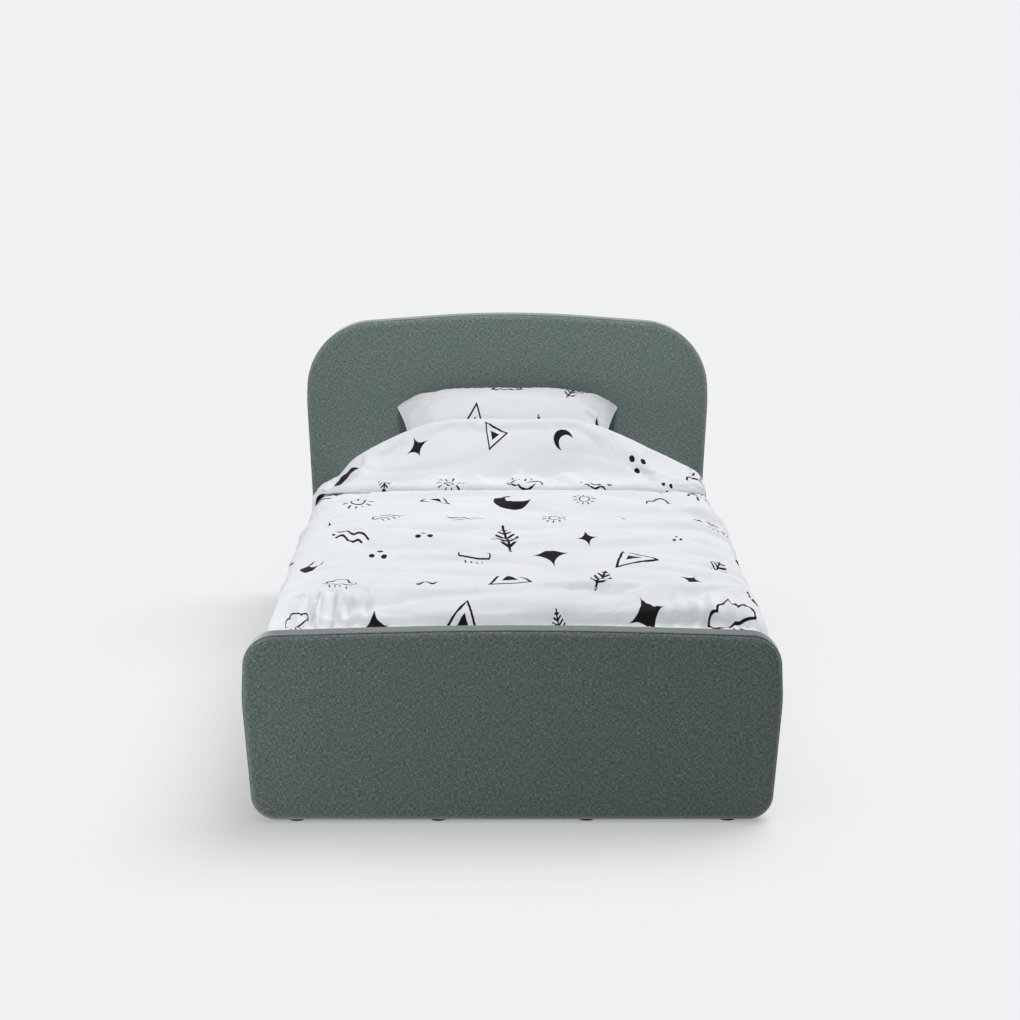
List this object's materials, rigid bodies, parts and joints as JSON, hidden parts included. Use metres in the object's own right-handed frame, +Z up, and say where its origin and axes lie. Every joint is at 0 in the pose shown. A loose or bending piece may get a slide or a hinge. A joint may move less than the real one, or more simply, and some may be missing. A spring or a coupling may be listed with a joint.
{
  "type": "toddler bed",
  "caption": "Low upholstered toddler bed with rounded fabric headboard and footboard, slatted base, mattress, pillow and a duvet turned back at the head.",
  "frame": {"origin": "middle of the footprint, on the floor", "axes": "+Z up, +Y from the footboard towards the headboard, +X to the right seen from the foot"},
  "size_m": [0.8034, 1.5, 0.571],
  "materials": {
    "board_fabric": "melange upholstery weave, matte",
    "plywood": "raw birch plywood",
    "foam": "open-cell upholstery foam",
    "slat_wood": "planed solid pine",
    "webbing": "woven cotton tape",
    "steel": "zinc plated, satin",
    "glide_plastic": "matte nylon",
    "ticking": "quilted knit ticking",
    "zip_plastic": "nylon coil",
    "bed_linen": "plain cotton with a loose black-on-white figure",
    "filling": "polyester wadding"
  },
  "bodies": {
    "frame": {"head_core": "plywood", "head_foam_front": "foam", "head_foam_back": "foam", "head_foam_edge": "foam", "head_cover_front": "board_fabric", "head_cover_band": "board_fabric", "head_cover_back": "board_fabric", "head_glides": "glide_plastic", "foot_core": "plywood", "foot_foam_front": "foam", "foot_foam_back": "foam", "foot_foam_edge": "foam", "foot_cover_front": "board_fabric", "foot_cover_band": "board_fabric", "foot_cover_back": "board_fabric", "foot_glides": "glide_plastic", "rail_left_core": "slat_wood", "rail_left_foam": "foam", "rail_left_cover": "board_fabric", "rail_left_cleat": "slat_wood", "rail_right_core": "slat_wood", "rail_right_foam": "foam", "rail_right_cover": "board_fabric", "rail_right_cleat": "slat_wood", "slat_01": "slat_wood", "slat_02": "slat_wood", "slat_03": "slat_wood", "slat_04": "slat_wood", "slat_05": "slat_wood", "slat_06": "slat_wood", "slat_07": "slat_wood", "slat_08": "slat_wood", "slat_09": "slat_wood", "slat_10": "slat_wood", "slat_11": "slat_wood", "slat_12": "slat_wood", "slat_13": "slat_wood", "slat_tapes": "webbing", "slat_screws": "steel", "cleat_screws": "steel", "corner_brackets": "steel", "bracket_screws": "steel", "bracket_bolts": "steel", "board_tnuts": "steel"},
    "mattress": {"mattress_core": "foam", "mattress_cover_top": "ticking", "mattress_cover_base": "ticking", "mattress_zip": "zip_plastic"},
    "pillow": {"pillow_fill": "filling", "pillow_case_front": "bed_linen", "pillow_case_back": "bed_linen"},
    "duvet": {"duvet_fill": "filling", "duvet_face": "bed_linen", "duvet_reverse": "bed_linen"}
  },
  "joints": [
    {"name": "mattress_lift", "type": "slide", "parent": "frame", "child": "mattress", "axis": [0, 0, 1], "range_m": [0, 0.42]},
    {"name": "duvet_lift", "type": "slide", "parent": "mattress", "child": "duvet", "axis": [0, 0, 1], "range_m": [0, 0.62]},
    {"name": "pillow_lift", "type": "slide", "parent": "mattress", "child": "pillow", "axis": [0, 0, 1], "range_m": [0, 0.31]}
  ],
  "couplings": [
    {"joint": "pillow_lift", "follows": "duvet_lift", "ratio": 0.5}
  ]
}
